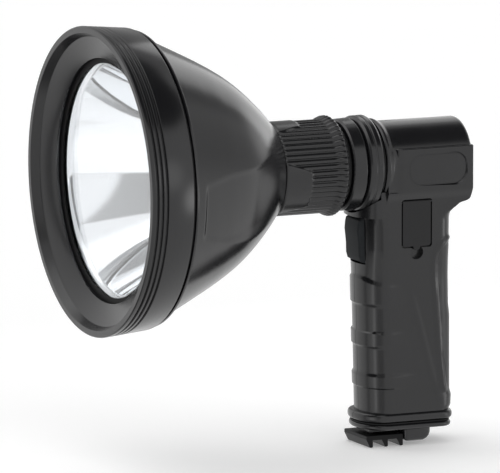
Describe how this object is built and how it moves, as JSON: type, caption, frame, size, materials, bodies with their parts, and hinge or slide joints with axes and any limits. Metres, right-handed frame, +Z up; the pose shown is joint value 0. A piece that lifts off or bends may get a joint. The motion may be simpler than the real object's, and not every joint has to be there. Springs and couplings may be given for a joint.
{
  "type": "handheld searchlight",
  "caption": "Pistol-grip searchlight with a large bell reflector head, focus collar, trigger, hinged charge port cover and slide-out battery pack.",
  "frame": {"origin": "middle of the box under the lowest point, the tips of the battery latch's ridges", "axes": "+X along the beam out of the lens, +Y towards the side with the charging port, +Z up, square to the beam and away from the foot of the grip"},
  "size_m": [0.2074, 0.16, 0.227],
  "materials": {
    "black_plastic": "satin moulded",
    "soft_black": "soft matte",
    "lens_clear": "polished",
    "mirror_bowl": "mirror metallised",
    "bare_aluminium": "turned",
    "steel": "bright",
    "brass": "bright",
    "green_board": "solder mask",
    "white_board": "satin",
    "phosphor": "smooth dome",
    "cell_sleeve": "shrink sleeve"
  },
  "bodies": {
    "housing": {"bezel_ring": "black_plastic", "lens_gasket": "soft_black", "lens": "lens_clear", "reflector": "mirror_bowl", "head_shell": "black_plastic", "shell_seal": "soft_black", "neck_tube": "bare_aluminium", "neck_ring_front": "soft_black", "retaining_ring": "black_plastic", "coupling_nut": "black_plastic", "neck_ring_rear": "soft_black", "handle_shell_left": "black_plastic", "handle_shell_right": "black_plastic", "handle_screw_1": "steel", "handle_screw_2": "steel", "handle_screw_3": "steel", "handle_screw_4": "steel", "backstrap": "soft_black", "label_plate_left": "black_plastic", "label_plate_right": "black_plastic", "trigger_pin": "steel", "trigger_spring": "steel", "switch_body": "soft_black", "switch_board": "green_board", "driver_board": "green_board", "driver_choke": "soft_black", "contact_plate": "green_board", "spring_contact_1": "brass", "spring_contact_2": "brass", "port_pin": "steel", "charge_socket": "soft_black", "charge_pin": "brass"},
    "collar": {"focus_collar": "black_plastic"},
    "lamp": {"lamp_carrier": "bare_aluminium", "led_board": "white_board", "led_emitter": "phosphor", "led_clamp": "brass", "drive_pin_1": "steel", "drive_pin_2": "steel"},
    "trigger": {"trigger": "black_plastic"},
    "plunger": {"switch_plunger": "brass"},
    "cover": {"port_cover": "soft_black"},
    "battery": {"battery_seal": "soft_black", "battery_cap": "black_plastic", "battery_case": "black_plastic", "cell_1": "cell_sleeve", "cell_2": "cell_sleeve", "battery_board": "green_board", "battery_contact_1": "brass", "battery_contact_2": "brass", "latch_spring": "steel"},
    "latch": {"battery_latch": "black_plastic"}
  },
  "joints": [
    {"name": "focus_turn", "type": "hinge", "parent": "housing", "child": "collar", "pos_m": [-0.01645, 0, 0.147], "axis": [1, 0, 0], "range_deg": [0, 120]},
    {"name": "lamp_slide", "type": "slide", "parent": "housing", "child": "lamp", "axis": [-1, 0, 0], "range_m": [0, 0.006]},
    {"name": "trigger_pull", "type": "hinge", "parent": "housing", "child": "trigger", "pos_m": [-0.04955, 0, 0.1166], "axis": [0, 1, 0], "range_deg": [0, 7], "stiffness_Nm_per_rad": 0.12, "springref_deg": -14.32, "deforming": ["trigger_spring"]},
    {"name": "plunger_press", "type": "slide", "parent": "housing", "child": "plunger", "axis": [-1, 0, 0], "range_m": [0, 0.00124]},
    {"name": "port_cover_open", "type": "hinge", "parent": "housing", "child": "cover", "pos_m": [-0.0722, 0.0176, 0.1278], "axis": [1, 0, 0], "range_deg": [0, 90]},
    {"name": "battery_slide", "type": "slide", "parent": "housing", "child": "battery", "axis": [0, 0, -1], "range_m": [0, 0.1]},
    {"name": "latch_press", "type": "slide", "parent": "battery", "child": "latch", "axis": [1, 0, 0], "range_m": [0, 0.004], "stiffness_N_per_m": 300, "springref_m": -0.004, "deforming": ["latch_spring"]}
  ],
  "couplings": [
    {"joint": "lamp_slide", "follows": "focus_turn", "m_per_rad": 0.0028647},
    {"joint": "plunger_press", "follows": "trigger_pull", "m_per_rad": 0.01}
  ]
}
